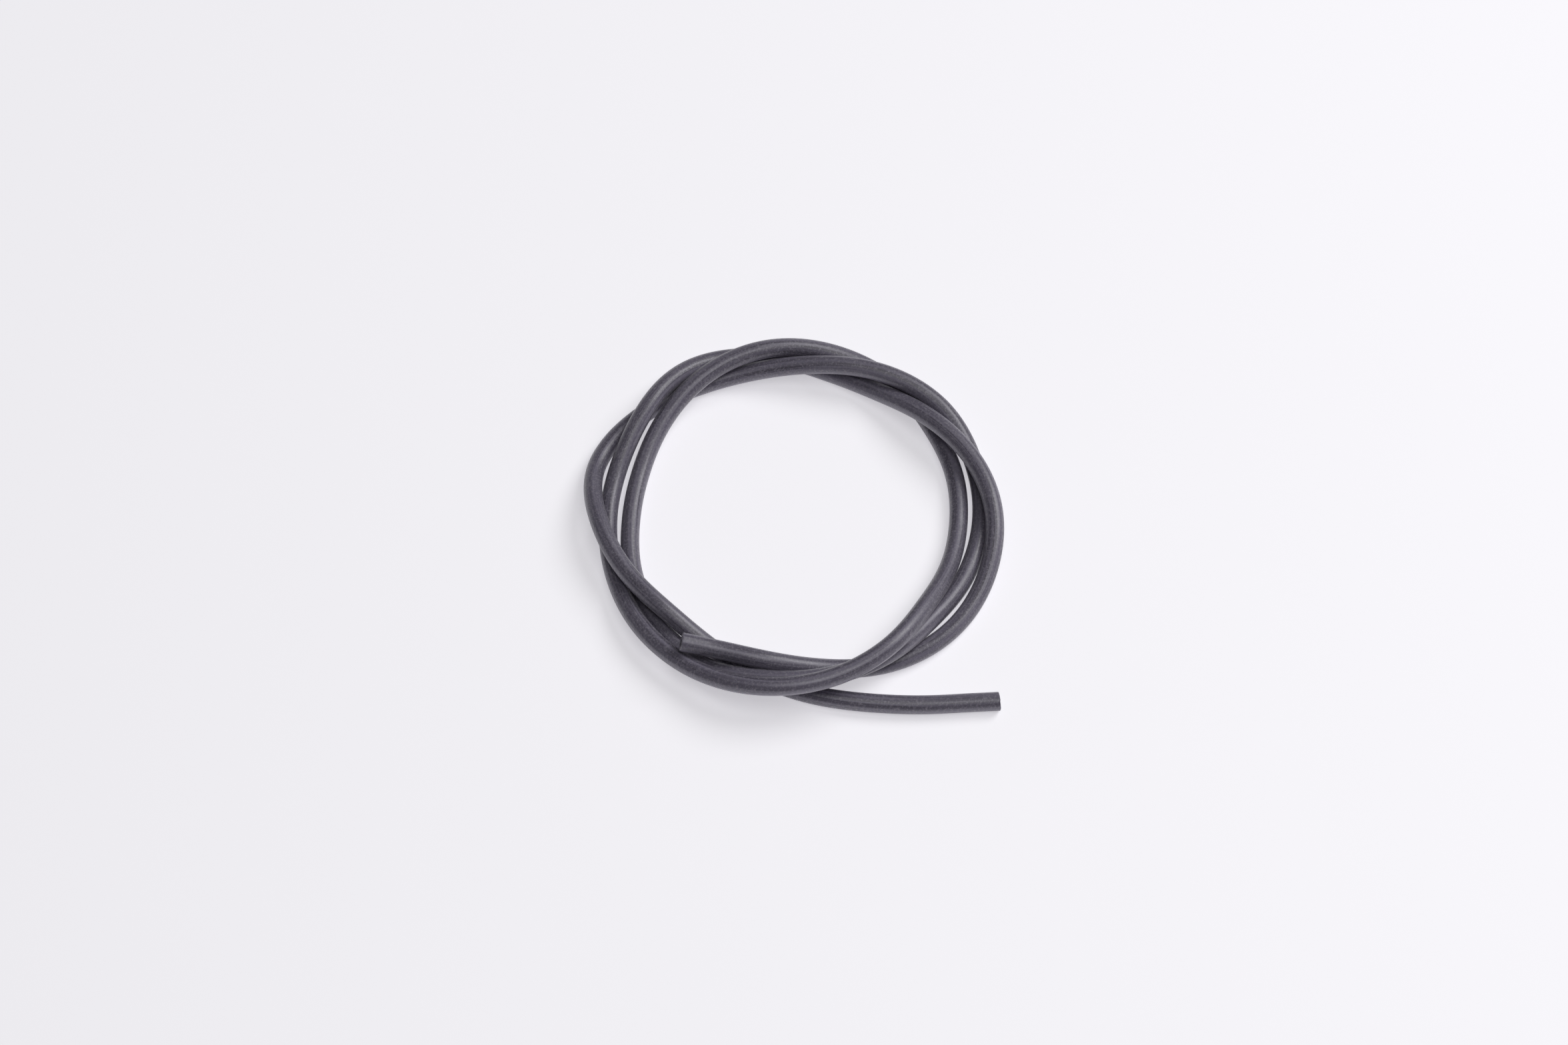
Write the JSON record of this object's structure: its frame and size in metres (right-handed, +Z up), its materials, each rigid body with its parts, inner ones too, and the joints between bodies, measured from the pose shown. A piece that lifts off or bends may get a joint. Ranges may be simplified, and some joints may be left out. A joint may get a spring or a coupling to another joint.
{
  "type": "rubber tube",
  "caption": "Plain soft rubber tube with square-cut open ends, lying in a loose flat coil; carries air or fluid between two barbed fittings.",
  "frame": {"origin": "under the middle of the coil, on the surface that it lies on", "axes": "+X to the right along the longest extent, towards the lower end; +Y across the coil, away from the side where both ends lie; +Z up"},
  "size_m": [0.1114, 0.1112, 0.016],
  "materials": {
    "tube": "satin extruded rubber, dark grey with a slight violet cast"
  },
  "bodies": {
    "root": {"tube_run": "tube", "upper_end": "tube", "lower_end": "tube"}
  },
  "joints": []
}
